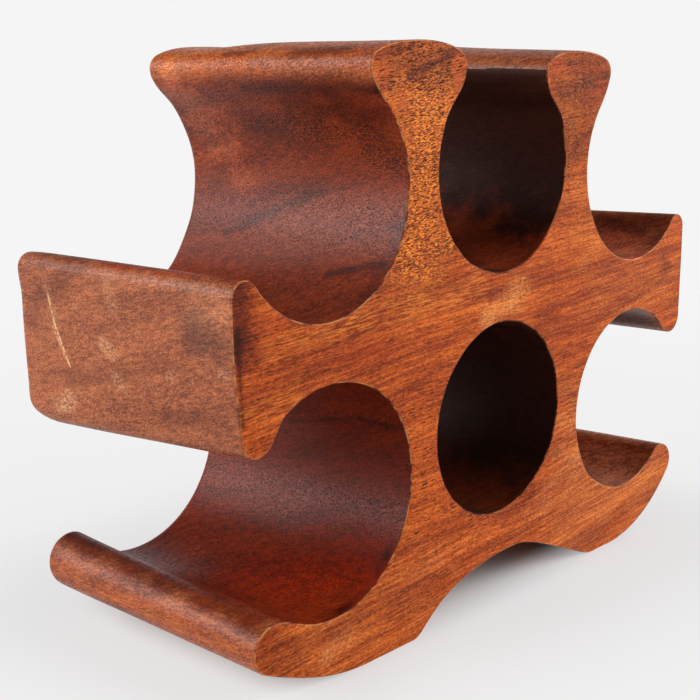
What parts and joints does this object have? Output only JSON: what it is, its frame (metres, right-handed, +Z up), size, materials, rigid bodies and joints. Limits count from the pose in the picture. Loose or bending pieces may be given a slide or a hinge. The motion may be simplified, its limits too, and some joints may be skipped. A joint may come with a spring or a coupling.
{
  "type": "bottle rack",
  "caption": "Carved wooden tabletop bottle rack: round scoops and bores between waisted posts, side arms and a lipped, arched base hold bottles lying down.",
  "frame": {"origin": "on the table, under the middle of the rack", "axes": "+X to the right along the front, +Y back through the depth, +Z up"},
  "size_m": [0.3506, 0.133, 0.2659],
  "materials": {
    "rack_wood": "oiled satin red-brown hardwood",
    "dowel_wood": "bare pale hardwood, fluted"
  },
  "bodies": {
    "root": {"base_board": "rack_wood", "lower_left_post": "rack_wood", "lower_right_post": "rack_wood", "middle_board": "rack_wood", "upper_left_post": "rack_wood", "upper_right_post": "rack_wood", "base_left_front_dowel": "dowel_wood", "base_left_rear_dowel": "dowel_wood", "base_right_front_dowel": "dowel_wood", "base_right_rear_dowel": "dowel_wood", "middle_left_front_dowel": "dowel_wood", "middle_left_rear_dowel": "dowel_wood", "middle_right_front_dowel": "dowel_wood", "middle_right_rear_dowel": "dowel_wood", "upper_left_front_dowel": "dowel_wood", "upper_left_rear_dowel": "dowel_wood", "upper_right_front_dowel": "dowel_wood", "upper_right_rear_dowel": "dowel_wood"}
  },
  "joints": []
}
